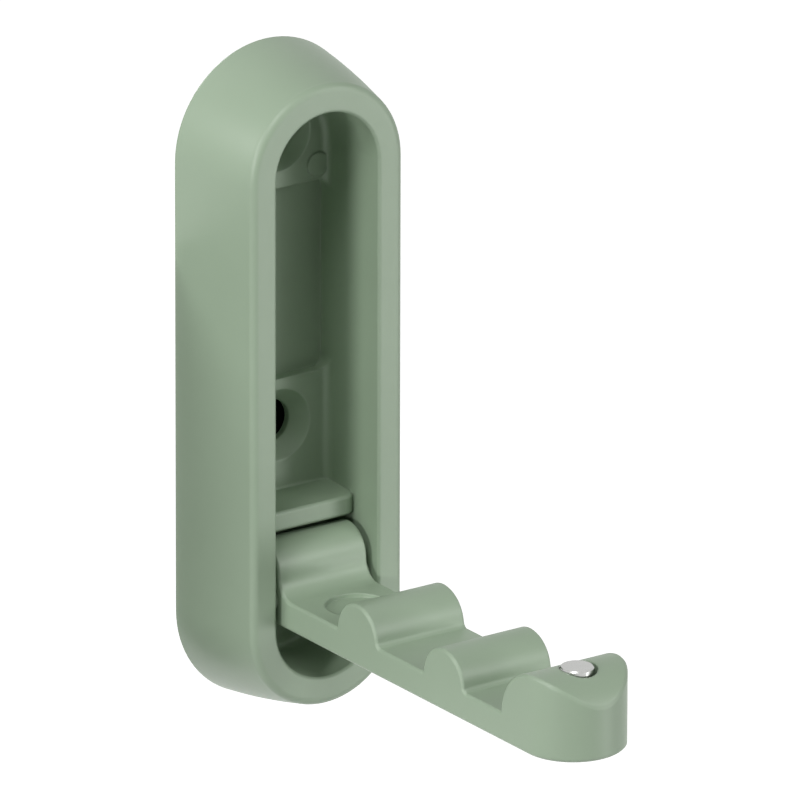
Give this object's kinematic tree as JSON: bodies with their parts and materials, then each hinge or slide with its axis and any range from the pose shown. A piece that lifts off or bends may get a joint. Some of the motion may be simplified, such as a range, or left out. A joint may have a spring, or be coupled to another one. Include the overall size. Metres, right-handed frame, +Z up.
{
  "type": "folding wall hook",
  "caption": "Wall hook whose ridged arm folds down from a rounded upright housing and lies flush inside it when closed, with a magnet in its tip and countersunk screw holes in the recess.",
  "frame": {"origin": "centre of the flat back of the housing, on the wall plane", "axes": "+X to the right as seen from the room, +Y into the wall, +Z up; the arm stands out along -Y"},
  "size_m": [0.03, 0.0806, 0.095],
  "materials": {
    "paint": "satin sage green powder coat",
    "pin_steel": "ground",
    "magnet_plating": "satin nickel plating"
  },
  "bodies": {
    "base": {"housing": "paint", "hinge_pin": "pin_steel"},
    "arm": {"hook_arm": "paint", "arm_magnet": "magnet_plating"}
  },
  "joints": [
    {"name": "arm_fold", "type": "hinge", "parent": "base", "child": "arm", "pos_m": [0, -0.0116, -0.02858], "axis": [-1, 0, 0], "range_deg": [0, 90]}
  ]
}
